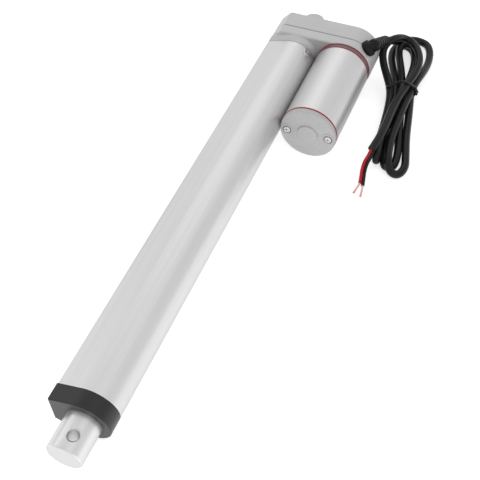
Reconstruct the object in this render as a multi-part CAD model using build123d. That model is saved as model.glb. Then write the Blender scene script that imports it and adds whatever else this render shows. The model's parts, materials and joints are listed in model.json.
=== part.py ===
from build123d import *
import os
from math import acos, atan2, cos, hypot, pi, radians, sin, sqrt, tan

# Tube linear actuator, millimetres.
# Origin: centre of the rear pivot hole. +X: the way the rod extends. +Y: from the
# tube's axis to the motor's axis. +Z: along the rear pivot hole.

# ---- Driving dimensions -------------------------------------------------------

STROKE = 250.0
PIVOTS_RETRACTED = 350.0        # rear hole to front hole, rod in
PIN_HOLE_R = 3.1
COUNTERSINK = 0.5               # at both mouths of the rod's hole

# Places along X
COVER_BACK = 12.0               # flat rear face of the gearbox
COVER_SPLIT = 26.8              # rear cover ends, gasket starts
GASKET = 0.5
PLATE_FRONT = 35.0              # flat front face of the gearbox
TUBE_BACK = 40.0
CAP_BACK = 328.0
CAP_FACE = 338.0
ROD_TIP = 359.0

# Tube section: a round nose on the motor's side, a flat on the other
NOSE_R = 15.0
FLAT_Y = -18.3
FLAT_TOP = 10.6
FLAT_BOTTOM = -8.2
TUBE_WALL = 2.0
SPIGOT_GAP = 0.1
CAP_STEP = 0.55                 # the cap stands proud of the tube's flat
JOINT_GAP = 0.45                # groove between gearbox and tube
JOINT_DEPTH = 0.8

# Gearbox outline
BOX_HALF = 17.3
BOX_END_Y = 35.8                # centre of the rounded end
BOX_CORNER_Y = -11.8
BOX_WALL = 2.2
BACK_WALL = 2.6
FRONT_WALL = 3.0
PARTING_INSET = 0.45            # the gasket lies this far in
PARTING_CHAMFER = 0.3
COLLAR_FLARE = 3.2              # how far back the collar's flare reaches
COLLAR_FLARE_ANGLE = 32

# Rear eye
LUG_R = 7.6
LUG_THICK = 9.0

# Rod, nut and screw
ROD_R = 10.0
ROD_BORE_R = 7.5
ROD_CHAMFER = 0.6
ROD_TURN = -15.0                # the rod is turned this many degrees about its axis
NUT_BACK = 47.0
NUT_LENGTH = 20.0
NUT_R = 12.6
NUT_FLAT_Y = -11.3
NUT_SOCKET = 12.0               # depth of the rod's seat in the nut
SCREW_R = 5.0
JOURNAL_R = 4.0
SCREW_END = 318.0
RUNNING = 0.05                  # radial clearance of every running fit
BUSH_BACK = 319.0
SEAL_BACK = 333.0
BUSH_OUTER_R = 11.6
TIP_GUIDE = 3.5

# Gears: stub teeth, 25 degree pressure angle
PRESSURE_ANGLE = 25.0
FINE_MODULE = 0.6
COARSE_MODULE = 0.8
PINION_TEETH = 12
IDLER_LARGE_TEETH = 40
IDLER_SMALL_TEETH = 14
OUTPUT_TEETH = 32
IDLER_Y = COARSE_MODULE * (IDLER_SMALL_TEETH + OUTPUT_TEETH) / 2
MOTOR_Y = IDLER_Y + FINE_MODULE * (PINION_TEETH + IDLER_LARGE_TEETH) / 2
AXLE_R = 2.0
AXLE_FRONT = 34.0
COARSE_BACK = 19.5
COARSE_FRONT = 25.5
FINE_BACK = 27.0
FINE_FRONT = 31.0

# Bearing of the screw
BEARING_R = 9.5
BEARING_BACK = 32.0
BEARING_FRONT = 38.0
BEARING_RING = 1.9
BALL_COUNT = 10

# Motor
MOTOR_R = 18.6
CAN_WALL = 1.5
CAN_BACK = 39.9
CAN_FRONT = 101.9
END_CAP_BACK = 102.9
END_CAP_FACE = 106.1
SHAFT_R = 1.6
MOTOR_SCREW_OFFSET = 13.8
MOTOR_HUB_R = 5.0
MOTOR_BUSH_R = 3.5
MOTOR_BUSH_REACH = 2.5          # how far the end bush reaches into the can
MOUNT_RINGS = ((35.4, 36.2), (39.0, CAN_BACK))
MAGNETS = (50.0, 92.0)
MAGNET_INNER_R = 14.2
CORE = (55.0, 86.0)
CORE_R = 13.2
CORE_SLOTS = 7
WINDING_ENDS = (48.0, 90.0)
WINDING_R = 11.6
COMMUTATOR_END = 96.0
BRUSH_PLATE_END = 98.5

# Cord
CORD_R = 2.6
FLOOR_Z = -MOTOR_R
WIRE_R = 1.3

# End-of-stroke switches on their strip, inside the tube's flat
SWITCH = (12.8, 3.4, 5.8)
SWITCH_Y = -13.4
SWITCH_Z = 1.5
STRIP_FROM = 48.0
STRIP_TO = 318.0
STRIP_THICK = 1.2
STRIP_WIDTH = 9.0

os.makedirs("parts", exist_ok=True)


# ---- Helpers -------------------------------------------------------------------

def save(solid, node):
    """Write one node; several separate solids become one compound."""
    shape = Compound(children=list(solid)) if isinstance(solid, (list, tuple)) else solid
    export_step(shape, f"parts/{node}.step")


def prism(face, x_from, x_to):
    """Extrude a face drawn in Y and Z along X."""
    return extrude(Plane.YZ.offset(x_from) * face, x_to - x_from, dir=(1, 0, 0))


def rod_between(radius, x_from, x_to, y=0.0, z=0.0):
    """Plain cylinder along X."""
    return prism(Pos(y, z) * Circle(radius), x_from, x_to)


def ring(outer, inner, x_from, x_to, y=0.0, z=0.0):
    """Plain tube along X."""
    return prism(Pos(y, z) * (Circle(outer) - Circle(inner)), x_from, x_to)


def toward(point, direction):
    """Plane at a point whose own Z points along a direction."""
    return Plane(origin=point, z_dir=direction)


def cross_screw(point, outward, head_r, head_h, shank_r, shank):
    """Pan-head screw with a cross recess; the point is under the head."""
    head = extrude(Circle(head_r), head_h)
    head = fillet(head.edges().sort_by(Axis.Z)[-1], head_h * 0.45)
    blade = Box(head_r * 1.15, head_r * 0.26, head_h * 1.2)
    recess = Pos(0, 0, head_h) * (blade + Rot(0, 0, 90) * blade)
    body = head - recess + extrude(Circle(shank_r), -shank)
    return toward(point, outward) * body


def screw_space(point, outward, head_r, head_h, shank_r, shank):
    """The room that a cross_screw takes in the parts round it."""
    body = extrude(Circle(head_r), head_h * 4) + extrude(Circle(shank_r), -shank)
    return toward(point, outward) * body


def gear_face(module, teeth, phase):
    """Involute outline; phase is the angle of one tooth's centre, in degrees."""
    pitch_r = module * teeth / 2
    tip_r = pitch_r + 0.8 * module
    root_r = pitch_r - 1.0 * module
    base_r = pitch_r * cos(radians(PRESSURE_ANGLE))
    backlash = 0.10

    def involute(radius):
        angle = acos(min(1.0, base_r / radius))
        return tan(angle) - angle

    half_pitch = pi / (2 * teeth) - backlash / (2 * pitch_r) + involute(pitch_r)
    low_r = max(root_r, base_r)
    radii = [low_r + (tip_r - low_r) * step / 3 for step in range(4)]
    if root_r < low_r:
        radii.insert(0, root_r)
    points = []
    for tooth in range(teeth):
        centre = radians(phase) + 2 * pi * tooth / teeth
        flank = [(radius, half_pitch - involute(max(radius, base_r))) for radius in radii]
        for radius, half in flank:
            points.append((radius * cos(centre - half), radius * sin(centre - half)))
        for radius, half in reversed(flank):
            points.append((radius * cos(centre + half), radius * sin(centre + half)))
    return make_face(Polyline(*points, close=True))


def arc_path(points, share=0.45):
    """Straight runs joined by tangent arcs as large as the runs allow."""
    vectors = [Vector(*point) for point in points]
    runs = [end - start for start, end in zip(vectors, vectors[1:])]
    radii = []
    for before, after in zip(runs, runs[1:]):
        turn = before.get_angle(after)
        shorter = min(before.length, after.length)
        radii.append(share * shorter / tan(radians(turn / 2)))
    return FilletPolyline(*points, radius=radii), radii


def tube_along(points, radius, label):
    """Round tube along a route; prints its bend radii and compares its volume."""
    path, radii = arc_path(points)
    start = Plane(origin=path @ 0, z_dir=path % 0)
    tube = sweep(start * Circle(radius), path=path)
    expected = pi * radius ** 2 * path.length
    print(label, "length", round(path.length, 1), "radii", [round(value, 1) for value in radii])
    print(label, "volume over section times length", round(tube.volume / expected, 4))
    return tube


# ---- Outlines ------------------------------------------------------------------

def tangent_angle(y, z, side):
    """Angle on the nose circle where the line from a corner of the flat touches it."""
    return atan2(z, y) - side * acos(NOSE_R / hypot(y, z))


def tube_outline(flat_y):
    """Outside of the tube: nose arc, two tangent sides and the flat."""
    upper = tangent_angle(flat_y, FLAT_TOP, 1)
    lower = tangent_angle(flat_y, FLAT_BOTTOM, -1)
    top = (NOSE_R * cos(upper), NOSE_R * sin(upper))
    bottom = (NOSE_R * cos(lower), NOSE_R * sin(lower))
    nose = ThreePointArc(top, (NOSE_R, 0), bottom)
    flat = Polyline(bottom, (flat_y, FLAT_BOTTOM), (flat_y, FLAT_TOP), top)
    return make_face([nose, flat])


def inset(face, distance):
    """The outline moved inwards by a distance."""
    return offset(face, amount=-distance, kind=Kind.INTERSECTION)


def box_outline():
    """Outside of the gearbox: chamfered at the tube, round at the motor."""
    upper = (BOX_END_Y, BOX_HALF)
    lower = (BOX_END_Y, -BOX_HALF)
    end = ThreePointArc(upper, (BOX_END_Y + BOX_HALF, 0), lower)
    rest = Polyline(
        lower,
        (BOX_CORNER_Y, -BOX_HALF),
        (FLAT_Y, -FLAT_TOP),
        (FLAT_Y, FLAT_TOP),
        (BOX_CORNER_Y, BOX_HALF),
        upper,
    )
    face = make_face([end, rest])
    corners = face.vertices().filter_by(lambda v: v.X < 0)
    return fillet(corners, 2.5)


SECTION = tube_outline(FLAT_Y)
CAP_SECTION = tube_outline(FLAT_Y - CAP_STEP)
SECTION_INSIDE = inset(SECTION, TUBE_WALL)
SPIGOT = inset(SECTION, TUBE_WALL + SPIGOT_GAP)
BOX = box_outline()
BOX_INSIDE = inset(BOX, BOX_WALL)

GEARBOX_POSTS = [(-13.6, 11.4), (-13.6, -11.4), (45.6, 10.4), (45.6, -10.4)]
POST_R = 2.7
MOUNT_SCREWS = [(MOTOR_Y, 8.0), (MOTOR_Y, -8.0)]
MOTOR_END_SCREWS = [(MOTOR_Y - MOTOR_SCREW_OFFSET, 0.0), (MOTOR_Y + MOTOR_SCREW_OFFSET, 0.0)]
TUBE_SCREW_X = 43.5
TUBE_SCREW_ANGLES = [46.0, -46.0]

# head radius, head height, shank radius, shank length
COVER_SCREW = (2.6, 1.8, 1.4, 17.0)
MOUNT_SCREW = (2.6, 1.4, 1.4, 7.0)
END_SCREW = (2.4, 1.5, 1.3, 9.0)
TUBE_SCREW = (3.0, 1.5, 1.4, 5.0)


def cover_screw_spots():
    return [((COVER_BACK + 1.9, y, z), (-1, 0, 0)) for y, z in GEARBOX_POSTS]


def mount_screw_spots():
    return [((PLATE_FRONT - FRONT_WALL, y, z), (-1, 0, 0)) for y, z in MOUNT_SCREWS]


def end_screw_spots():
    return [((END_CAP_FACE - 0.8, y, z), (1, 0, 0)) for y, z in MOTOR_END_SCREWS]


def tube_screw_spots():
    seat = NOSE_R - 0.45
    spots = []
    for angle in TUBE_SCREW_ANGLES:
        outward = (0, cos(radians(angle)), sin(radians(angle)))
        spots.append(((TUBE_SCREW_X, seat * outward[1], seat * outward[2]), outward))
    return spots


def screws(spots, size):
    return [cross_screw(point, outward, *size) for point, outward in spots]


def cut_for(body, spots, size):
    """Take the room of a group of screws out of a body."""
    for point, outward in spots:
        body -= screw_space(point, outward, *size)
    return body


# ---- Tube and front end ----------------------------------------------------------

def outer_tube():
    tube = prism(SECTION, TUBE_BACK, CAP_BACK) - prism(SECTION_INSIDE, TUBE_BACK, CAP_BACK)
    return cut_for(tube, tube_screw_spots(), TUBE_SCREW)


def front_cap():
    flange = prism(CAP_SECTION, CAP_BACK, CAP_FACE)
    flange = chamfer(flange.edges().group_by(Axis.X)[-1], 0.35)
    cap = flange + prism(SPIGOT, BUSH_BACK, CAP_BACK)
    return cap - rod_between(BUSH_OUTER_R, BUSH_BACK, CAP_FACE)


def limit_switches():
    """Two sealed switches that the nut's flat passes at each end of the stroke."""
    half = SWITCH[0] / 2
    bodies = []
    for middle in (NUT_BACK + 2 + half, NUT_BACK + STROKE + NUT_LENGTH - 1.2 - half):
        body = Pos(middle, SWITCH_Y, SWITCH_Z) * Box(*SWITCH)
        bodies.append(fillet(body.edges().filter_by(Axis.Y), 0.6))
    return bodies


def limit_switch_strip():
    place = Pos((STRIP_FROM + STRIP_TO) / 2, FLAT_Y + TUBE_WALL + STRIP_THICK / 2, SWITCH_Z)
    return place * Box(STRIP_TO - STRIP_FROM, STRIP_THICK, STRIP_WIDTH)


save(outer_tube(), "outer_tube")
save(front_cap(), "front_cap")
save(ring(BUSH_OUTER_R, ROD_R + RUNNING, BUSH_BACK, SEAL_BACK), "rod_bush")
save(ring(BUSH_OUTER_R, ROD_R + RUNNING, SEAL_BACK, CAP_FACE), "rod_wiper_seal")
save(limit_switch_strip(), "limit_switch_strip")
save(limit_switches(), "limit_switches")
save(screws(tube_screw_spots(), TUBE_SCREW), "tube_screws")


# ---- Gearbox housing -------------------------------------------------------------

def housing_posts(x_from, x_to):
    posts = [rod_between(POST_R, x_from, x_to, y, z) for y, z in GEARBOX_POSTS]
    return [post & prism(BOX, x_from, x_to) for post in posts]


def gearbox_front_housing():
    back = COVER_SPLIT + GASKET
    body = prism(BOX, back, PLATE_FRONT)
    body = fillet(body.edges().group_by(Axis.X)[-1], 1.2)
    body = chamfer(body.edges().group_by(Axis.X)[0], PARTING_CHAMFER)
    body -= prism(BOX_INSIDE, back, PLATE_FRONT - FRONT_WALL)
    for post in housing_posts(back, PLATE_FRONT - FRONT_WALL):
        body += post
    collar_back = PLATE_FRONT - 1.3
    collar_front = TUBE_BACK - JOINT_GAP
    flare_front = Plane.YZ.offset(TUBE_BACK - 2.6)
    flare = extrude(flare_front * SECTION, -COLLAR_FLARE, taper=-COLLAR_FLARE_ANGLE)
    body += flare & prism(BOX, collar_back, TUBE_BACK)
    body += prism(SECTION, collar_back, collar_front)
    body += prism(inset(SECTION, JOINT_DEPTH), collar_front, TUBE_BACK)
    body += prism(SPIGOT, TUBE_BACK, NUT_BACK - 1)
    body -= rod_between(BEARING_R, PLATE_FRONT - FRONT_WALL, BEARING_FRONT)
    body -= rod_between(7.0, BEARING_FRONT, NUT_BACK)
    body -= rod_between(MOTOR_HUB_R, PLATE_FRONT - FRONT_WALL, PLATE_FRONT, MOTOR_Y)
    body -= rod_between(AXLE_R, PLATE_FRONT - FRONT_WALL, AXLE_FRONT, IDLER_Y)
    body -= rod_between(MOTOR_R + 0.3, PLATE_FRONT, TUBE_BACK, MOTOR_Y)
    body = cut_for(body, tube_screw_spots(), TUBE_SCREW)
    body = cut_for(body, mount_screw_spots(), MOUNT_SCREW)
    return cut_for(body, cover_screw_spots(), COVER_SCREW)


def gearbox_gasket():
    front = COVER_SPLIT + GASKET
    edge = inset(BOX, PARTING_INSET)
    gasket = prism(edge - BOX_INSIDE, COVER_SPLIT, front)
    for post in housing_posts(COVER_SPLIT, front):
        gasket += post & prism(edge, COVER_SPLIT, front)
    return cut_for(gasket, cover_screw_spots(), COVER_SCREW)


def rear_eye():
    """Rounded tongue for the rear pivot, on a thicker root."""
    half = LUG_THICK / 2
    tongue = extrude(Circle(LUG_R) + Pos(7, 0) * Rectangle(14, 2 * LUG_R), half, both=True)
    tongue = fillet(tongue.edges().group_by(Axis.Z)[-1] + tongue.edges().group_by(Axis.Z)[0], 0.8)
    root = Pos(COVER_BACK - 1.4, 0, 0) * Box(3.2, 2 * LUG_R + 3, LUG_THICK + 3)
    root = chamfer(root.edges().group_by(Axis.X)[0], 1.4)
    return tongue + root


def gearbox_rear_cover():
    body = prism(BOX, COVER_BACK, COVER_SPLIT)
    body = fillet(body.edges().group_by(Axis.X)[0], 2.0)
    body = chamfer(body.edges().group_by(Axis.X)[-1], PARTING_CHAMFER)
    body += rear_eye()
    inside = COVER_BACK + BACK_WALL
    body -= prism(BOX_INSIDE, inside, COVER_SPLIT)
    for post in housing_posts(inside, COVER_SPLIT):
        body += post
    body += ring(7.6, 6.0, inside, COARSE_BACK - 0.8)
    body += ring(4.4, AXLE_R, inside, inside + 0.8, IDLER_Y)
    body -= rod_between(AXLE_R, inside - 1, inside, IDLER_Y)
    body -= Cylinder(PIN_HOLE_R, LUG_THICK * 2)
    return cut_for(body, cover_screw_spots(), COVER_SCREW)


save(gearbox_front_housing(), "gearbox_front_housing")
save(gearbox_gasket(), "gearbox_gasket")
save(gearbox_rear_cover(), "gearbox_rear_cover")
save(screws(cover_screw_spots(), COVER_SCREW), "gearbox_screws")
save(screws(mount_screw_spots(), MOUNT_SCREW), "motor_mounting_screws")


# ---- Gear train ------------------------------------------------------------------

def output_gear():
    teeth = prism(gear_face(COARSE_MODULE, OUTPUT_TEETH, 0), COARSE_BACK, COARSE_FRONT)
    hub = rod_between(5.2, COARSE_FRONT, BEARING_BACK)
    return teeth + hub - rod_between(JOURNAL_R, COARSE_BACK, BEARING_BACK)


def idler_gear():
    """Two gears in one piece: the small one drives the output gear."""
    small = gear_face(COARSE_MODULE, IDLER_SMALL_TEETH, 180 + 180 / IDLER_SMALL_TEETH)
    large = gear_face(FINE_MODULE, IDLER_LARGE_TEETH, 0)
    back = COVER_BACK + BACK_WALL + 1.0
    body = prism(Pos(IDLER_Y, 0) * small, COARSE_BACK, COARSE_FRONT + 0.5)
    body += prism(Pos(IDLER_Y, 0) * large, FINE_BACK, FINE_FRONT)
    body += rod_between(4.2, COARSE_FRONT + 0.5, FINE_BACK, IDLER_Y)
    body += rod_between(3.6, back, COARSE_BACK, IDLER_Y)
    body += rod_between(3.6, FINE_FRONT, FINE_FRONT + 0.7, IDLER_Y)
    return body - rod_between(AXLE_R + RUNNING, back, FINE_FRONT + 0.7, IDLER_Y)


def motor_pinion():
    face = gear_face(FINE_MODULE, PINION_TEETH, 180 + 180 / PINION_TEETH)
    body = prism(Pos(MOTOR_Y, 0) * face, FINE_BACK - 0.5, FINE_FRONT + 0.5)
    return body - rod_between(SHAFT_R, FINE_BACK - 1, FINE_FRONT + 1, MOTOR_Y)


save(output_gear(), "output_gear")
save(idler_gear(), "idler_gear")
save(motor_pinion(), "motor_pinion")
save(rod_between(AXLE_R, COVER_BACK + BACK_WALL - 1, AXLE_FRONT, IDLER_Y), "idler_axle")


# ---- Screw, bearings and rod -------------------------------------------------------

def leadscrew():
    journal = rod_between(JOURNAL_R, COVER_BACK + BACK_WALL + 0.3, BEARING_FRONT)
    thread = rod_between(SCREW_R, BEARING_FRONT, SCREW_END)
    return journal + thread + rod_between(TIP_GUIDE, SCREW_END, SCREW_END + 4.5)


def bearing_balls():
    ball_r = (BEARING_R - JOURNAL_R - 2 * BEARING_RING) / 2 - 0.03
    track = (BEARING_R + JOURNAL_R) / 2
    middle = (BEARING_BACK + BEARING_FRONT) / 2
    balls = []
    for index in range(BALL_COUNT):
        angle = 2 * pi * index / BALL_COUNT
        balls.append(Pos(middle, track * cos(angle), track * sin(angle)) * Sphere(ball_r))
    return balls


def turned(solid):
    """The rod's own turn about its axis."""
    return Rot(ROD_TURN, 0, 0) * solid


def front_hole():
    """Cross hole through the rod with a countersink at each mouth."""
    hole = Cylinder(PIN_HOLE_R, ROD_R * 3)
    depth = ROD_R - sqrt(ROD_R ** 2 - PIN_HOLE_R ** 2)
    sink = Pos(0, 0, ROD_R - depth) * Cone(PIN_HOLE_R, PIN_HOLE_R + COUNTERSINK * 2, COUNTERSINK * 2)
    return turned(Pos(PIVOTS_RETRACTED, 0, 0) * (hole + sink + Rot(180, 0, 0) * sink))


def rod_tube():
    body = ring(ROD_R, ROD_BORE_R, NUT_BACK + NUT_LENGTH - NUT_SOCKET, ROD_TIP)
    rim = body.edges().group_by(Axis.X)[-1].sort_by(SortBy.RADIUS)[-1]
    return chamfer(rim, ROD_CHAMFER) - front_hole()


def drive_nut():
    body = rod_between(NUT_R, NUT_BACK, NUT_BACK + NUT_LENGTH)
    flat = Pos(NUT_BACK + NUT_LENGTH / 2, NUT_FLAT_Y - 5, 0) * Box(NUT_LENGTH, 10, 40)
    body -= flat
    body -= rod_between(SCREW_R + RUNNING, NUT_BACK, NUT_BACK + NUT_LENGTH)
    return body - rod_between(ROD_R, NUT_BACK + NUT_LENGTH - NUT_SOCKET, NUT_BACK + NUT_LENGTH)


save(leadscrew(), "leadscrew")
save(ring(BEARING_R, BEARING_R - BEARING_RING, BEARING_BACK, BEARING_FRONT), "bearing_outer_ring")
save(ring(JOURNAL_R + BEARING_RING, JOURNAL_R, BEARING_BACK, BEARING_FRONT), "bearing_inner_ring")
save(bearing_balls(), "bearing_balls")
save(ring(6.0, JOURNAL_R + RUNNING, COVER_BACK + BACK_WALL, COARSE_BACK - 0.8), "screw_rear_bush")
save(ring(ROD_BORE_R - 0.3, TIP_GUIDE, SCREW_END, SCREW_END + TIP_GUIDE), "screw_tip_guide")
save(rod_tube(), "rod_tube")
save(rod_between(ROD_BORE_R, SCREW_END + 6, ROD_TIP) - front_hole(), "rod_end_plug")
save(drive_nut(), "drive_nut")


# ---- Motor -------------------------------------------------------------------------

def motor_adapter():
    """Flange between gearbox and motor, with the shaft's front bush in it."""
    body = rod_between(MOTOR_R - 0.9, PLATE_FRONT, CAN_BACK, MOTOR_Y)
    body += ring(MOTOR_R - 0.15, MOTOR_R - 1.5, 36.2, 39.0, MOTOR_Y)
    body += rod_between(MOTOR_HUB_R, PLATE_FRONT - 2.5, CAN_BACK + 4, MOTOR_Y)
    body -= rod_between(MOTOR_BUSH_R, PLATE_FRONT - 2.5, CAN_BACK + 4, MOTOR_Y)
    return cut_for(body, mount_screw_spots(), MOUNT_SCREW)


def motor_can():
    body = rod_between(MOTOR_R, CAN_BACK, CAN_FRONT, MOTOR_Y)
    body -= rod_between(MOTOR_R - CAN_WALL, CAN_BACK + CAN_WALL, CAN_FRONT, MOTOR_Y)
    return body - rod_between(MOTOR_HUB_R, CAN_BACK, CAN_BACK + CAN_WALL, MOTOR_Y)


def motor_end_cap():
    body = rod_between(MOTOR_R - 0.1, END_CAP_BACK, END_CAP_FACE, MOTOR_Y)
    body = fillet(body.edges().group_by(Axis.X)[-1], 0.7)
    boss = rod_between(6.8, END_CAP_FACE, END_CAP_FACE + 0.9, MOTOR_Y)
    body += fillet(boss.edges().group_by(Axis.X)[-1], 0.6)
    inner = END_CAP_BACK - MOTOR_BUSH_REACH
    body += rod_between(MOTOR_R - CAN_WALL, inner, END_CAP_BACK, MOTOR_Y)
    body -= rod_between(MOTOR_BUSH_R, inner, END_CAP_BACK + 2, MOTOR_Y)
    for y, z in MOTOR_END_SCREWS:
        rim = ring(4.4, 3.0, END_CAP_FACE, END_CAP_FACE + 0.25, y, z)
        body += rim & rod_between(MOTOR_R - 1.0, END_CAP_FACE, END_CAP_FACE + 1, MOTOR_Y)
        body -= rod_between(3.0, END_CAP_FACE - 0.8, END_CAP_FACE + 1, y, z)
    return cut_for(body, end_screw_spots(), END_SCREW)


def motor_magnets():
    """Two arc magnets on the inside of the can."""
    shell = ring(MOTOR_R - CAN_WALL, MAGNET_INNER_R, *MAGNETS, MOTOR_Y)
    gap = Pos(sum(MAGNETS) / 2, MOTOR_Y, 0) * Box(MAGNETS[1] - MAGNETS[0] + 2, 40, 14)
    halves = (shell - gap).solids()
    return list(halves)


def brush_holder():
    body = ring(MOTOR_R - CAN_WALL, 6.5, COMMUTATOR_END, BRUSH_PLATE_END, MOTOR_Y)
    return cut_for(body, end_screw_spots(), END_SCREW)


def motor_brushes():
    across = MOTOR_HUB_R + RUNNING + 3.5
    return [Pos(COMMUTATOR_END - 2, MOTOR_Y, side * across) * Box(4, 3.4, 7) for side in (1, -1)]


def rotor_core():
    """Laminated core with slots."""
    body = ring(CORE_R, SHAFT_R, *CORE, MOTOR_Y)
    slot = Pos(sum(CORE) / 2, CORE_R - 2, 0) * Box(CORE[1] - CORE[0], 5, 2.2)
    for index in range(CORE_SLOTS):
        body -= Pos(0, MOTOR_Y, 0) * Rot(360 * index / CORE_SLOTS, 0, 0) * slot
    return body


def rotor_windings():
    spans = ((WINDING_ENDS[0], CORE[0]), (CORE[1], WINDING_ENDS[1]))
    return [ring(WINDING_R, SHAFT_R, *span, MOTOR_Y) for span in spans]


save(motor_adapter(), "motor_adapter")
save(motor_can(), "motor_can")
save(motor_end_cap(), "motor_end_cap")
save(screws(end_screw_spots(), END_SCREW), "motor_end_screws")
save(ring(MOTOR_R + 0.05, MOTOR_R - CAN_WALL, CAN_FRONT, END_CAP_BACK, MOTOR_Y), "motor_end_ring")
save([ring(MOTOR_R + 0.05, MOTOR_R - 0.9, *span, MOTOR_Y) for span in MOUNT_RINGS], "motor_mount_rings")
save(motor_magnets(), "motor_magnets")
save(brush_holder(), "brush_holder")
save(motor_brushes(), "motor_brushes")
save(ring(MOTOR_BUSH_R, SHAFT_R + RUNNING, PLATE_FRONT - 2, CAN_BACK + 4, MOTOR_Y), "motor_front_bush")
END_BUSH = (END_CAP_BACK - MOTOR_BUSH_REACH, END_CAP_BACK + 2)
save(ring(MOTOR_BUSH_R, SHAFT_R + RUNNING, *END_BUSH, MOTOR_Y), "motor_end_bush")
save(rod_between(SHAFT_R, FINE_BACK - 1, END_CAP_BACK + 1.6, MOTOR_Y), "motor_shaft")
save(rotor_core(), "rotor_core")
save(rotor_windings(), "rotor_windings")
save(ring(MOTOR_HUB_R, SHAFT_R, WINDING_ENDS[1], COMMUTATOR_END, MOTOR_Y), "commutator")


# ---- Cord --------------------------------------------------------------------------

BOOT_FOOT = Vector(26.5, 48.0, 12.0)          # where the boot sits on the rounded end
BOOT_OUT = Vector(0, 1, 1).normalized()
BOOT_ALONG = Vector(-0.88, 0.12, -0.45).normalized()
BOOT_FLANGE = (5.7, 1.6)                      # radius, height over the rounded end
BOOT_R = 4.9
BOOT_HEIGHT = 5.0
RELIEF_LENGTH = 24.0
RELIEF_BACK_R = 4.4
RELIEF_FRONT_R = 3.5
RELIEF_RIBS = 4

ELBOW = BOOT_FOOT + BOOT_OUT * BOOT_HEIGHT
CORD_EXIT = ELBOW + BOOT_ALONG * RELIEF_LENGTH

LEAD_ROUTE = [
    tuple(CORD_EXIT),
    (-4.0, 56.5, -0.5),
    (-13.0, 59.5, -6.5),
    (-21.0, 64.5, -10.5),
]

# Plan outline of the tied hank, lying on the floor
HANK_OUTLINE = [
    (7, 54),
    (-9, 47),
    (-21, 46),
    (-31, 51),
    (-35, 61),
    (-35, 72),
    (-28, 82),
    (-13, 88),
    (4, 89),
    (22, 86),
    (34, 87),
    (63, 93),
    (84, 98),
    (100, 99),
    (110, 94),
    (107, 85),
    (101, 77),
    (89, 69),
    (65, 69),
    (41, 67),
    (26, 62.5),
]
HANK_BOTTOM = FLOOR_Z + 1.0
HANK_TOP = -4.5
TIE_X = 28.0
TIE_WIDTH = 2.6

RED_ROUTE = [(88.0, 71.0, -15.9), (97.0, 70.0, -16.9), (106.5, 71.0, -17.3), (116.0, 73.5, -17.3)]
BLACK_ROUTE = [(88.0, 74.0, -15.9), (97.5, 73.0, -16.9), (107.0, 74.5, -17.3), (117.0, 77.5, -17.3)]
RED_BARE = [(116.0, 73.5, -17.3), (127.0, 73.0, -17.5)]
BLACK_BARE = [(117.0, 77.5, -17.3), (129.0, 79.0, -17.5)]
BARE_R = 0.75


def cord_boot():
    """Right-angle moulded boot with a ribbed, tapered strain relief."""
    sunk = 4.0
    foot = toward(tuple(BOOT_FOOT - BOOT_OUT * sunk), tuple(BOOT_OUT))
    block = foot * extrude(Circle(BOOT_FLANGE[0]), BOOT_FLANGE[1] + sunk)
    block += foot * extrude(Circle(BOOT_R), BOOT_HEIGHT + sunk)
    block += Pos(*ELBOW) * Sphere(BOOT_R)
    along = toward(tuple(ELBOW), tuple(BOOT_ALONG))
    relief = loft([along * Circle(RELIEF_BACK_R), along.offset(RELIEF_LENGTH) * Circle(RELIEF_FRONT_R)])
    for index in range(RELIEF_RIBS):
        place = along.offset(8.5 + 3.6 * index)
        relief -= extrude(place * (Circle(8) - Circle(3.1)), 1.3)
    return block + relief - prism(BOX, COVER_BACK, PLATE_FRONT)


def cord_hank():
    outline = make_face(Polyline(*HANK_OUTLINE, close=True))
    outline = fillet(outline.vertices(), 2.5)
    body = extrude(Plane.XY.offset(HANK_BOTTOM) * outline, HANK_TOP - HANK_BOTTOM)
    return body


def hank_tie(hank):
    top = HANK_TOP + 1.0
    middle = (FLOOR_Z + top) / 2
    band = Pos(TIE_X, 74.6, middle) * Box(TIE_WIDTH, 26.4, top - FLOOR_Z)
    band = fillet(band.edges().filter_by(Axis.X), 2)
    return band - hank


HANK = cord_hank()
save(cord_boot(), "cord_boot")
save(tube_along(LEAD_ROUTE, CORD_R, "cord_lead"), "cord_lead")
save(HANK, "cord_hank")
save(hank_tie(HANK), "hank_tie")
save(tube_along(RED_ROUTE, WIRE_R, "red_wire"), "red_wire")
save(tube_along(BLACK_ROUTE, WIRE_R, "black_wire"), "black_wire")
BARE_ENDS = []
for tip_from, tip_to in (RED_BARE, BLACK_BARE):
    tip = toward(tip_from, Vector(*tip_to) - Vector(*tip_from))
    BARE_ENDS.append(tip * extrude(Circle(BARE_R), (Vector(*tip_to) - Vector(*tip_from)).length))
save(BARE_ENDS, "bare_wire_ends")
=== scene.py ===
"""Looks of the tube linear actuator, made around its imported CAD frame.

Blender works in metres. The routes and sizes of the cord and the boot are in millimetres of the row
frame: origin in the rear pivot hole, +X the way the rod comes out, +Y from the tube to the motor,
+Z along the rear pivot hole.
"""

import json
import math

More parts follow.
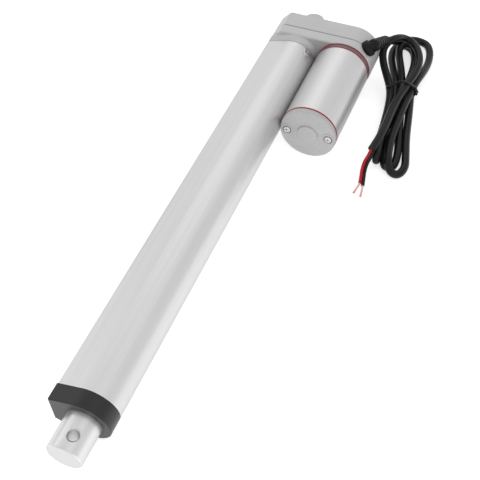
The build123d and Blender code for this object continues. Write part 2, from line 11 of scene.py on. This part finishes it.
import bmesh
import bpy
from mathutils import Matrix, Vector


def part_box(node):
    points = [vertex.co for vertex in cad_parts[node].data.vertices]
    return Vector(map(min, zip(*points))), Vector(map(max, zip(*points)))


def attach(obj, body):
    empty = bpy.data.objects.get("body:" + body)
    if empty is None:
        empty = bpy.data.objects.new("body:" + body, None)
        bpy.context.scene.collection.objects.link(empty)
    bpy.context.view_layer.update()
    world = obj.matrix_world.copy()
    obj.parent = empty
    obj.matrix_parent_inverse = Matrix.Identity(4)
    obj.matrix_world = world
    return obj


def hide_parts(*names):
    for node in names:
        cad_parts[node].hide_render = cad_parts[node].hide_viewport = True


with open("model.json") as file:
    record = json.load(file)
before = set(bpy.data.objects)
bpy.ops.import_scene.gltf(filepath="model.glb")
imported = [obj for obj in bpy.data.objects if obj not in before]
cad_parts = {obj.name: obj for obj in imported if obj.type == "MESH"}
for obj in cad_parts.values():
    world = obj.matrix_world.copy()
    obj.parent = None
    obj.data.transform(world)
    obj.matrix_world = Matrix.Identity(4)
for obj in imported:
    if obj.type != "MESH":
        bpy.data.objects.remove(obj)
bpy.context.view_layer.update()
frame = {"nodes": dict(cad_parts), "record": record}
NODES = frame["nodes"]
MM = 0.001


def in_metres(point):
    return [value * MM for value in point]


def add_to_scene(item):
    bpy.context.scene.collection.objects.link(item)
    return item


# ---- Camera --------------------------------------------------------------------

CAMERA_PLACE = (504.8, 171.7, 403.2)        # mm
CAMERA_TURN = (38.309, 1.469, 111.916)      # degrees
CAMERA_LENS = 68.16
CAMERA_SENSOR = 36.0
CAMERA_SHIFT = (-0.0373, 0.0459)
CAMERA_REACH = 20.0                         # metres


def make_camera():
    data = bpy.data.cameras.new("camera")
    data.lens = CAMERA_LENS
    data.sensor_width = CAMERA_SENSOR
    data.shift_x, data.shift_y = CAMERA_SHIFT
    data.clip_end = CAMERA_REACH
    camera = add_to_scene(bpy.data.objects.new("camera", data))
    camera.location = in_metres(CAMERA_PLACE)
    camera.rotation_euler = [math.radians(value) for value in CAMERA_TURN]
    bpy.context.scene.camera = camera


make_camera()


# ---- Node helpers for materials --------------------------------------------------

class Paint:
    """A material with a Principled shader and the nodes that feed it."""

    def __init__(self, name, **sockets):
        self.material = bpy.data.materials.new(name)
        self.material.use_nodes = True
        self.tree = self.material.node_tree
        self.shader = self.tree.nodes["Principled BSDF"]
        self.bump = None
        self.fill(self.shader, sockets)

    def fill(self, node, sockets):
        """Set sockets to constant values; an underscore in a socket's name stands for a space."""
        for name, value in sockets.items():
            node.inputs[name.replace("_", " ")].default_value = value

    def node(self, kind, **sockets):
        made = self.tree.nodes.new(kind)
        self.fill(made, sockets)
        return made

    def link(self, source, target):
        self.tree.links.new(source, target)

    def into(self, source, socket):
        self.link(source, self.shader.inputs[socket])

    def noise(self, scale, detail, roughness=0.5, stretch=(1, 1, 1)):
        """Noise over the object's own coordinates, scaled by stretch; scale is per metre."""
        coordinates = self.node("ShaderNodeTexCoord")
        mapping = self.node("ShaderNodeMapping", Scale=stretch)
        made = self.node("ShaderNodeTexNoise", Scale=scale, Detail=detail, Roughness=roughness)
        self.link(coordinates.outputs["Object"], mapping.inputs["Vector"])
        self.link(mapping.outputs["Vector"], made.inputs["Vector"])
        return made.outputs["Fac"]

    def mix(self, first, second, share):
        """Blend of two values, with this share of the second."""
        made = self.node("ShaderNodeMix", Factor=share)
        self.link(first, made.inputs["A"])
        self.link(second, made.inputs["B"])
        return made.outputs["Result"]

    def ramp(self, source, low_stop, high_stop):
        """Colour ramp between two stops, each a position and a colour."""
        made = self.node("ShaderNodeValToRGB")
        for element, (position, colour) in zip(made.color_ramp.elements, (low_stop, high_stop)):
            element.position = position
            element.color = (*colour, 1)
        self.link(source, made.inputs["Fac"])
        return made.outputs["Color"]

    def spread(self, source, low, high):
        """Map 0..1 to low..high."""
        made = self.node("ShaderNodeMapRange", To_Min=low, To_Max=high)
        self.link(source, made.inputs["Value"])
        return made.outputs["Result"]

    def relief(self, source, strength, distance):
        """Add one bump over the ones before; distance is in metres."""
        made = self.node("ShaderNodeBump", Strength=strength, Distance=distance)
        self.link(source, made.inputs["Height"])
        if self.bump is not None:
            self.link(self.bump.outputs["Normal"], made.inputs["Normal"])
        self.bump = made
        self.into(made.outputs["Normal"], "Normal")


# ---- Materials -------------------------------------------------------------------

ALONG_X = (0.02, 1, 1)      # stretch that draws noise out into lines along X
CLOUD_SHARE = 0.35
MARK_SHADE = 0.86
PATCH_SHADE = 0.8


def grey(value):
    return (value, value, value)


def shaded(colour, share):
    return tuple(value * share for value in colour)


def anodised(name, low, high, roughness, edge=0.7, metallic=0.85):
    """Satin anodised aluminium: fine blasted grain with faint die lines; edge is its edge tint."""
    paint = Paint(name, Metallic=metallic, Roughness=roughness, Specular_Tint=(*grey(edge), 1))
    grain = paint.noise(scale=2600, detail=2.0)
    lines = paint.noise(scale=420, detail=2.0, roughness=0.6, stretch=ALONG_X)
    paint.into(paint.ramp(lines, (0.3, low), (0.7, high)), "Base Color")
    paint.into(paint.spread(grain, roughness - 0.06, roughness + 0.08), "Roughness")
    paint.relief(grain, strength=0.18, distance=0.00004)
    paint.relief(lines, strength=0.05, distance=0.00003)
    return paint.material


def sprayed(name, low, high, roughness, grain=1500):
    """Sprayed grey over a casting: orange peel, speckle and a soft cloudiness."""
    paint = Paint(name, Metallic=0.25, Roughness=roughness)
    speckle = paint.noise(scale=grain, detail=4.0, roughness=0.65)
    clouds = paint.noise(scale=60, detail=2.0)
    mixed = paint.mix(speckle, clouds, CLOUD_SHARE)
    paint.into(paint.ramp(mixed, (0.34, low), (0.66, high)), "Base Color")
    paint.into(paint.spread(speckle, roughness - 0.05, roughness + 0.1), "Roughness")
    paint.relief(speckle, strength=0.35, distance=0.00008)
    return paint.material


def plain_metal(name, colour, roughness):
    """Machined or plated metal with fine tool marks."""
    paint = Paint(name, Metallic=1.0, Roughness=roughness)
    marks = paint.noise(scale=900, detail=3.0, roughness=0.6)
    paint.into(paint.ramp(marks, (0.35, shaded(colour, MARK_SHADE)), (0.65, colour)), "Base Color")
    paint.into(paint.spread(marks, roughness * 0.8, roughness * 1.25), "Roughness")
    paint.relief(marks, strength=0.08, distance=0.00003)
    return paint.material


def plastic(name, colour, roughness, grain=2200, strength=0.2, sheen=0.35):
    """Moulded plastic or rubber with a fine spark-eroded texture; sheen is its specular level."""
    paint = Paint(name, Roughness=roughness, Specular_IOR_Level=sheen)
    texture = paint.noise(scale=grain, detail=3.0, roughness=0.6)
    patches = paint.noise(scale=90, detail=2.0)
    paint.into(paint.ramp(patches, (0.35, shaded(colour, PATCH_SHADE)), (0.65, colour)), "Base Color")
    paint.into(paint.spread(texture, roughness - 0.06, roughness + 0.08), "Roughness")
    paint.relief(texture, strength, distance=0.00004)
    return paint.material


MATERIALS = {
    "tube_aluminium": anodised("tube_aluminium", grey(0.67), grey(0.71), 0.42),
    "rod_steel": anodised("rod_steel", grey(0.70), grey(0.75), 0.34),
    "cap_plastic": plastic("cap_plastic", (0.013, 0.013, 0.0135), 0.36, sheen=0.45),
    "seal_rubber": plastic("seal_rubber", grey(0.020), 0.42, sheen=0.45),
    "bush_plastic": plastic("bush_plastic", (0.70, 0.67, 0.58), 0.4),
    "housing_cast": sprayed("housing_cast", grey(0.47), grey(0.53), 0.45),
    "gasket_dark": plastic("gasket_dark", grey(0.03), 0.6, sheen=0.2),
    "screw_chrome": plain_metal("screw_chrome", (0.66, 0.66, 0.67), 0.2),
    "steel_plain": plain_metal("steel_plain", (0.55, 0.55, 0.56), 0.3),
    "bronze": plain_metal("bronze", (0.60, 0.42, 0.22), 0.4),
    "gear_plastic": plastic("gear_plastic", (0.80, 0.79, 0.74), 0.4),
    "gear_steel": plain_metal("gear_steel", (0.42, 0.42, 0.43), 0.35),
    "motor_silver": anodised("motor_silver", grey(0.65), grey(0.69), 0.36, edge=0.5, metallic=0.7),
    "motor_cap_cast": sprayed("motor_cap_cast", grey(0.40), grey(0.50), 0.5, grain=1100),
    "ring_red": plastic("ring_red", (0.34, 0.003, 0.025), 0.4, sheen=0.15),
    "adapter_dark": sprayed("adapter_dark", grey(0.10), grey(0.15), 0.45),
    "magnet": plastic("magnet", grey(0.12), 0.6),
    "carbon": plastic("carbon", grey(0.06), 0.6),
    "copper": plain_metal("copper", (0.75, 0.38, 0.25), 0.3),
    "strand_copper": plain_metal("strand_copper", (0.95, 0.64, 0.62), 0.35),
    "board": plastic("board", (0.04, 0.18, 0.08), 0.4),
    "cord_black": plastic("cord_black", (0.008, 0.008, 0.0085), 0.33, sheen=0.22),
    "wire_red": plastic("wire_red", (0.50, 0.010, 0.022), 0.34, sheen=0.25),
    "wire_black": plastic("wire_black", (0.006, 0.006, 0.0065), 0.32, sheen=0.25),
    "boot_black": plastic("boot_black", (0.006, 0.006, 0.0065), 0.45, grain=1500, strength=0.35,
                          sheen=0.2),
    "tie_black": plastic("tie_black", (0.012, 0.012, 0.013), 0.38, sheen=0.3),
}


def paint_nodes():
    """Every CAD node takes the material of its record slot."""
    for part in frame["record"]["subparts"]:
        node = NODES[part["node"]]
        node.data.materials.clear()
        node.data.materials.append(MATERIALS[part["material_slot"]])


paint_nodes()


# ---- Routes of the cord and its wires ----------------------------------------------

CORD_D = 5.2
WIRE_D = 2.2

# From the relief's end to the hank
LEAD_ROUTE = [
    (5.3, 54.4, 4.7), (-1.0, 55.4, 1.2), (-5.0, 56.7, -2.4), (-10.8, 58.8, -6.2),
    (-18.0, 62.6, -10.0),
]

# On the floor, and back up to the tie
OUTER_LOOP = [
    (-26.0, 67.6, -14.0), (-28.0, 72.8, -15.8), (-25.8, 78.2, -15.8), (-19.2, 81.8, -15.8),
    (-10.0, 83.6, -15.8), (0.0, 84.1, -14.5), (11.0, 83.7, -11.8), (22.0, 82.4, -10.4),
    (33.0, 81.8, -10.4),
]

# Down from the tie, round the lower end and back
LARGE_END_LOOP = [
    (46.0, 81.3, -10.4), (62.0, 81.8, -10.4), (78.0, 82.2, -10.4), (90.0, 83.8, -10.4),
    (99.5, 86.0, -11.3), (105.6, 89.2, -14.5), (105.8, 94.8, -15.8), (98.0, 97.4, -15.8),
    (87.0, 94.6, -15.8), (71.0, 90.2, -15.8), (54.0, 86.8, -15.8), (40.0, 83.8, -15.8),
    (27.0, 80.8, -15.8),
]

# On the floor
LOWEST_TOP_LOOP = [
    (15.0, 78.4, -15.8), (4.0, 76.0, -15.8), (-6.0, 74.2, -15.8), (-14.5, 71.2, -15.8),
    (-19.5, 66.0, -15.8), (-19.2, 58.6, -15.8), (-12.0, 56.4, -15.8), (-3.0, 57.9, -15.8),
    (7.0, 62.2, -15.8), (17.0, 66.6, -15.8),
]

# Down and back, inside the large one
MIDDLE_END_LOOP = [
    (28.0, 70.0, -15.8), (43.0, 72.4, -15.8), (59.0, 74.4, -15.8), (75.0, 77.4, -15.8),
    (87.5, 80.6, -15.8), (95.5, 82.4, -15.8), (101.4, 84.6, -15.8), (100.2, 89.8, -15.8),
    (93.0, 90.0, -15.8), (85.0, 88.8, -15.8), (76.0, 86.5, -15.8), (64.0, 83.5, -15.8),
    (50.0, 80.2, -15.8), (37.0, 77.0, -15.8), (26.0, 74.2, -15.8),
]

# Round the open eye
MIDDLE_TOP_LOOP = [
    (16.0, 71.1, -14.2), (8.0, 67.6, -11.4), (-1.0, 63.6, -10.4), (-9.5, 61.4, -10.4),
    (-15.4, 64.3, -10.4), (-14.4, 69.8, -10.4), (-8.5, 73.2, -10.4), (0.0, 75.6, -10.4),
    (10.0, 76.9, -10.4), (20.0, 77.4, -10.4),
]

# Standing on its edge
SMALL_END_LOOP = [
    (31.0, 77.4, -10.8), (45.0, 77.0, -11.6), (60.0, 77.0, -11.6), (72.0, 76.2, -12.0),
    (82.0, 75.6, -14.0), (89.0, 76.2, -15.8), (95.8, 77.7, -15.8), (101.2, 78.9, -13.0),
    (100.0, 78.4, -8.9), (93.5, 77.3, -8.6), (82.0, 75.4, -9.8), (70.0, 74.2, -10.4),
    (56.0, 72.6, -10.4), (43.0, 70.4, -10.4), (33.0, 67.2, -10.2),
]

# Up over the lead and down on the others
FRONT_LOOP = [
    (25.0, 62.5, -8.4), (17.5, 57.3, -4.4), (12.2, 54.9, -0.6), (8.6, 55.0, 2.6), (3.4, 56.8, 4.0),
    (-2.4, 60.0, 2.9), (-8.4, 62.6, -0.4), (-11.7, 65.8, -3.4), (-11.0, 69.8, -4.6),
    (-6.8, 74.2, -4.8), (0.0, 78.0, -4.8), (9.0, 80.6, -4.8), (20.0, 80.9, -4.8),
    (32.0, 78.8, -4.9),
]

# On top, to the end of the jacket
LAST_RUN = [
    (45.0, 76.8, -4.9), (60.0, 76.2, -4.9), (74.0, 76.8, -4.5), (88.5, 76.8, -3.8),
    (100.4, 75.2, -4.2),
]

# The whole hank, in the order that the cord runs
HANK_ROUTE = (OUTER_LOOP + LARGE_END_LOOP + LOWEST_TOP_LOOP + MIDDLE_END_LOOP + MIDDLE_TOP_LOOP
              + SMALL_END_LOOP + FRONT_LOOP + LAST_RUN)

# The two wires past the jacket's end, and the middles of their bare tips
RED_WIRE = [
    (97.0, 75.2, -4.4), (101.3, 74.7, -5.6), (102.2, 73.6, -9.4), (103.4, 71.9, -13.6),
    (108.0, 71.9, -16.5), (113.8, 73.2, -16.9), (118.8, 74.1, -17.4),
]

BLACK_WIRE = [
    (97.0, 76.2, -4.6), (101.6, 76.2, -6.0), (102.8, 75.4, -9.8), (104.0, 73.7, -14.8),
    (108.6, 73.9, -17.3), (114.6, 75.3, -17.4), (120.2, 76.5, -17.4),
]

RED_TIP = [
    (117.8, 74.1, -17.4), (123.6, 73.6, -17.4), (128.6, 72.9, -17.5),
]

BLACK_TIP = [
    (119.2, 76.4, -17.4), (124.6, 77.2, -17.4), (130.0, 78.0, -17.5),
]

# The tie: once round the hank, then its ends twisted together
TIE_BAND = [
    (33.5, 66.4, -15.0), (34.5, 65.2, -10.5), (35.6, 66.2, -7.2), (36.2, 68.6, -6.6),
    (34.8, 71.2, -5.0), (34.0, 73.8, -2.4), (34.8, 77.0, -1.3), (34.6, 79.6, -1.6),
    (33.0, 81.8, -4.2), (30.8, 83.6, -6.8), (30.6, 85.2, -9.4), (31.5, 84.8, -13.5),
    (33.0, 80.0, -17.6), (33.0, 72.0, -17.6), (33.2, 67.4, -17.2),
]
TWIST_START = Vector((30.2, 83.6, -8.2))
TWIST_TAIL = Vector((1.2, 2.4, -3.4))


# ---- Building curves and round bodies ----------------------------------------------

BEVEL_STEPS = 7
SPLINE_ORDER = 3
CORD_STEPS = 12             # curve steps between control points
WIRE_STEPS = 10
STRAND_STEPS = 6
SHARP_IN_BOOT = 40          # degrees
SHARP_IN_CAD = 30


def add_piece(name, data, material):
    """Object of this curve or mesh that rides on the housing."""
    data.materials.append(MATERIALS[material])
    piece = add_to_scene(bpy.data.objects.new(name, data))
    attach(piece, "housing")
    return piece


def curve_through(name, routes, diameter, material, steps=WIRE_STEPS):
    """One piece of smooth round lines, a NURBS spline for each route of control points."""
    data = bpy.data.curves.new(name, "CURVE")
    data.dimensions = "3D"
    data.bevel_depth = diameter / 2 * MM
    data.bevel_resolution = BEVEL_STEPS
    data.resolution_u = steps
    data.use_fill_caps = True
    for route in routes:
        spline = data.splines.new("NURBS")
        spline.points.add(len(route) - 1)
        for control, point in zip(spline.points, route):
            control.co = (*in_metres(point), 1)
        spline.order_u = SPLINE_ORDER
        spline.use_endpoint_u = True
    return add_piece(name, data, material)


def line_of(piece):
    """Points along a curve piece's middle, in metres."""
    copy = piece.copy()
    copy.data = piece.data.copy()
    copy.data.bevel_depth = 0
    add_to_scene(copy)
    evaluated = copy.evaluated_get(bpy.context.evaluated_depsgraph_get())
    mesh = bpy.data.meshes.new_from_object(evaluated)
    points = [vertex.co.copy() for vertex in mesh.vertices]
    bpy.data.objects.remove(copy)
    bpy.data.meshes.remove(mesh)
    return points


def length_of(points):
    return sum((end - start).length for start, end in zip(points, points[1:]))


def on_bend(start, middle, end, share):
    """Point of the quadratic bend from start to end that heads for middle first."""
    return start.lerp(middle, share).lerp(middle.lerp(end, share), share)


def along_frames(points):
    """A point and two sideways directions at each point, with no twist from one to the next."""
    frames = []
    side = None
    for index, point in enumerate(points):
        ahead = points[min(index + 1, len(points) - 1)] - points[max(index - 1, 0)]
        ahead.normalize()
        if side is None:
            side = ahead.orthogonal().normalized()
        side = (side - ahead * side.dot(ahead)).normalized()
        frames.append((point, side, ahead.cross(side)))
    return frames


def smooth_shading(mesh, sharp_angle):
    """Smooth shading; edges sharper than this many degrees stay sharp."""
    for polygon in mesh.polygons:
        polygon.use_smooth = True
    mesh.set_sharp_from_angle(angle=math.radians(sharp_angle))


def round_body(name, points, radii, sides, material):
    """Closed round body along points, with its own radius at each; all in metres."""
    shell = bmesh.new()
    rings = []
    for (point, side, up), radius in zip(along_frames(points), radii):
        ring = []
        for step in range(sides):
            angle = 2 * math.pi * step / sides
            out = side * math.cos(angle) + up * math.sin(angle)
            ring.append(shell.verts.new(point + out * radius))
        rings.append(ring)
    for low, high in zip(rings, rings[1:]):
        for step in range(sides):
            after = (step + 1) % sides
            shell.faces.new((low[step], low[after], high[after], high[step]))
    shell.faces.new(list(reversed(rings[0])))
    shell.faces.new(rings[-1])
    bmesh.ops.recalc_face_normals(shell, faces=shell.faces)
    mesh = bpy.data.meshes.new(name)
    shell.to_mesh(mesh)
    shell.free()
    smooth_shading(mesh, SHARP_IN_BOOT)
    return add_piece(name, mesh, material)


# ---- Boot and strain relief --------------------------------------------------------

BOOT_FOOT = Vector((26.5, 48.0, 12.0))
BOOT_OUT = Vector((0, 1, 1)).normalized()
BOOT_ALONG = Vector((-0.88, 0.12, -0.45)).normalized()
BOOT_HEIGHT = 5.0                           # from the foot to the elbow
BOOT_SUNK = 4.0                             # below the foot, inside the gearbox
BOOT_SIDES = 48
FLANGE_R = 5.5
FLANGE_HEIGHT = 1.6
FLANGE_BLEND = 1.2
WAIST_R = 4.5
BEND_REACH = 3.6
RELIEF_LENGTH = 24.0
RELIEF_FRONT_R = 3.7
FRONT_ROUND = 0.5
FRONT_ROUND_LENGTH = 0.8
GROOVES = (3.7, 8.0, 12.2, 16.4, 20.6, 24.6)        # middles, along the body from its foot
GROOVE_HALF = 1.15
GROOVE_DEPTH = 1.3
GROOVE_STEEPNESS = 1.7
FOOT_POINTS = 30
BEND_POINTS = 36
RELIEF_POINTS = 190


def smooth_step(value):
    value = max(0.0, min(1.0, value))
    return value * value * (3 - 2 * value)


def boot_radius(along, full):
    """Radius of the moulded body at a distance along it from the foot, mm."""
    blend = smooth_step((along - FLANGE_HEIGHT) / FLANGE_BLEND)
    taper = WAIST_R + (RELIEF_FRONT_R - WAIST_R) * max(0.0, along) / full
    radius = FLANGE_R + (taper - FLANGE_R) * blend
    nearest = min(abs(along - groove) for groove in GROOVES)
    radius -= GROOVE_DEPTH * smooth_step(GROOVE_STEEPNESS * (1 - nearest / GROOVE_HALF))
    return radius - FRONT_ROUND * (1 - smooth_step((full - along) / FRONT_ROUND_LENGTH))


def boot_line():
    """Points along the upright foot, the quarter bend and the relief, mm."""
    elbow = BOOT_FOOT + BOOT_OUT * BOOT_HEIGHT
    bend_start = elbow - BOOT_OUT * BEND_REACH
    bend_end = elbow + BOOT_ALONG * BEND_REACH
    points = []
    for step in range(FOOT_POINTS):
        height = -BOOT_SUNK + (BOOT_SUNK + BOOT_HEIGHT - BEND_REACH) * step / FOOT_POINTS
        points.append(BOOT_FOOT + BOOT_OUT * height)
    for step in range(BEND_POINTS):
        points.append(on_bend(bend_start, elbow, bend_end, step / BEND_POINTS))
    for step in range(RELIEF_POINTS + 1):
        distance = BEND_REACH + (RELIEF_LENGTH - BEND_REACH) * step / RELIEF_POINTS
        points.append(elbow + BOOT_ALONG * distance)
    return points


def make_boot():
    """Right-angle boot with a grooved strain relief, moulded as one body."""
    points = boot_line()
    full = length_of(points) - BOOT_SUNK
    radii = []
    along = -BOOT_SUNK
    for index, point in enumerate(points):
        if index:
            along += (point - points[index - 1]).length
        radii.append(boot_radius(along, full) * MM)
    points = [point * MM for point in points]
    boot = round_body("cord_boot_moulded", points, radii, BOOT_SIDES, "boot_black")
    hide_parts("cord_boot")
    return boot


# ---- Cord, tie and wires -----------------------------------------------------------

TIE_D = 1.5
TWIST_POINTS = 12
TWIST_ANGLE = 3 * math.pi                   # a turn and a half over the twisted end
TWIST_R = 0.72
TWIST_OPENS = 0.4                           # more radius at the end of the twist
STRAND_D = 0.48
STRANDS = 7                                 # one in the middle and six round it
STRAND_OUT = 0.46
STRAND_FAN = 0.45                           # share that the strands fan out by at their tips
STRAND_TWIST = 2.2                          # radians
STRAND_UNEVEN = 0.5                         # mm between the lengths of neighbours
STRAND_POINTS = 4


def make_cord():
    whole_route = LEAD_ROUTE + HANK_ROUTE
    cord = curve_through("cord", [whole_route], CORD_D, "cord_black", CORD_STEPS)
    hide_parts("cord_lead", "cord_hank")
    return cord


def make_tie():
    """Thin plastic-covered wire round the hank, its ends twisted together."""
    routes = [TIE_BAND + [TIE_BAND[0]]]
    for start_angle in (0, math.pi):
        route = []
        for step in range(TWIST_POINTS + 1):
            along = step / TWIST_POINTS
            angle = start_angle + along * TWIST_ANGLE
            radius = TWIST_R + TWIST_OPENS * along
            round_it = Vector((math.cos(angle), 0, math.sin(angle))) * radius
            route.append(TWIST_START + TWIST_TAIL * along + round_it)
        routes.append(route)
    tie = curve_through("hank_twist_tie", routes, TIE_D, "tie_black")
    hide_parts("hank_tie")
    return tie


def make_wires():
    red = curve_through("red_wire_insulation", [RED_WIRE], WIRE_D, "wire_red")
    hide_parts("red_wire")
    black = curve_through("black_wire_insulation", [BLACK_WIRE], WIRE_D, "wire_black")
    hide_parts("black_wire")
    return [red, black]


def strand_route(tip, strand):
    """Control points of one strand, lightly twisted round the middle of its wire's tip."""
    start, middle, end = (Vector(point) for point in tip)
    ahead = (end - start).normalized()
    side = ahead.orthogonal().normalized()
    up = ahead.cross(side)
    out = STRAND_OUT if strand else 0.0
    route = []
    for step in range(STRAND_POINTS + 1):
        along = step / STRAND_POINTS
        angle = strand * math.pi / 3 + along * STRAND_TWIST
        spread = out * (1 + STRAND_FAN * along * along)
        sideways = (side * math.cos(angle) + up * math.sin(angle)) * spread
        shorter = ahead * STRAND_UNEVEN * (strand % 3) * along
        route.append(on_bend(start, middle, end, along) + sideways - shorter)
    return route


def make_strands():
    """Bare copper strands at the ends of both wires."""
    routes = [strand_route(tip, strand) for tip in (RED_TIP, BLACK_TIP) for strand in range(STRANDS)]
    strands = curve_through("bare_strands", routes, STRAND_D, "strand_copper", STRAND_STEPS)
    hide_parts("bare_wire_ends")
    return strands


cord = make_cord()
boot = make_boot()
tie = make_tie()
wires = make_wires()
strands = make_strands()
CORD_LENGTH = length_of(line_of(cord))


# ---- Shading of the CAD nodes ------------------------------------------------------

for node in NODES.values():
    smooth_shading(node.data, SHARP_IN_CAD)


# ---- Stage -------------------------------------------------------------------------

FLOOR_Z = min(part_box("motor_can")[0].z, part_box("motor_end_ring")[0].z)
FLOOR_HALF = 40.0
FLOOR_GREY = 0.70
FLOOR_GLOW = 0.62
WHITE = (1, 1, 1, 1)
WORLD_STRENGTH = 0.78
LIGHT_TARGET = Vector((0.15, 0.03, 0.0))

# Name, place and size in metres, power in watts
AREA_LIGHTS = [
    ("back", (-0.75, -0.35, 0.9), (1.0, 0.8), 1.3),
    ("overhead", (-0.30, 0.42, 1.05), (0.9, 0.35), 0.35),
    ("front", (0.9, 0.5, 0.9), (0.9, 0.7), 2.0),
    ("side", (0.25, -0.95, 0.7), (1.2, 0.5), 1.0),
]


def make_floor():
    """White floor under the motor, lit up so that it burns out as the photo's background does."""
    half = FLOOR_HALF
    corners = [(-half, -half, 0), (half, -half, 0), (half, half, 0), (-half, half, 0)]
    mesh = bpy.data.meshes.new("floor")
    mesh.from_pydata(corners, [], [(0, 1, 2, 3)])
    floor = add_to_scene(bpy.data.objects.new("floor", mesh))
    floor.location.z = FLOOR_Z
    paint = Paint("floor", Roughness=0.9, Base_Color=(*grey(FLOOR_GREY), 1),
                  Emission_Color=WHITE, Emission_Strength=FLOOR_GLOW)
    mesh.materials.append(paint.material)


def make_world():
    world = bpy.data.worlds.new("world")
    bpy.context.scene.world = world
    world.use_nodes = True
    background = world.node_tree.nodes["Background"]
    background.inputs["Color"].default_value = WHITE
    background.inputs["Strength"].default_value = WORLD_STRENGTH


def area_light(name, place, size, power):
    data = bpy.data.lights.new(name, "AREA")
    data.shape = "RECTANGLE"
    data.size, data.size_y = size
    data.energy = power
    light = add_to_scene(bpy.data.objects.new(name, data))
    light.location = place
    light.rotation_euler = (LIGHT_TARGET - Vector(place)).to_track_quat("-Z", "Y").to_euler()


make_floor()
make_world()
for settings in AREA_LIGHTS:
    area_light(*settings)
bpy.context.scene.view_settings.view_transform = "Standard"
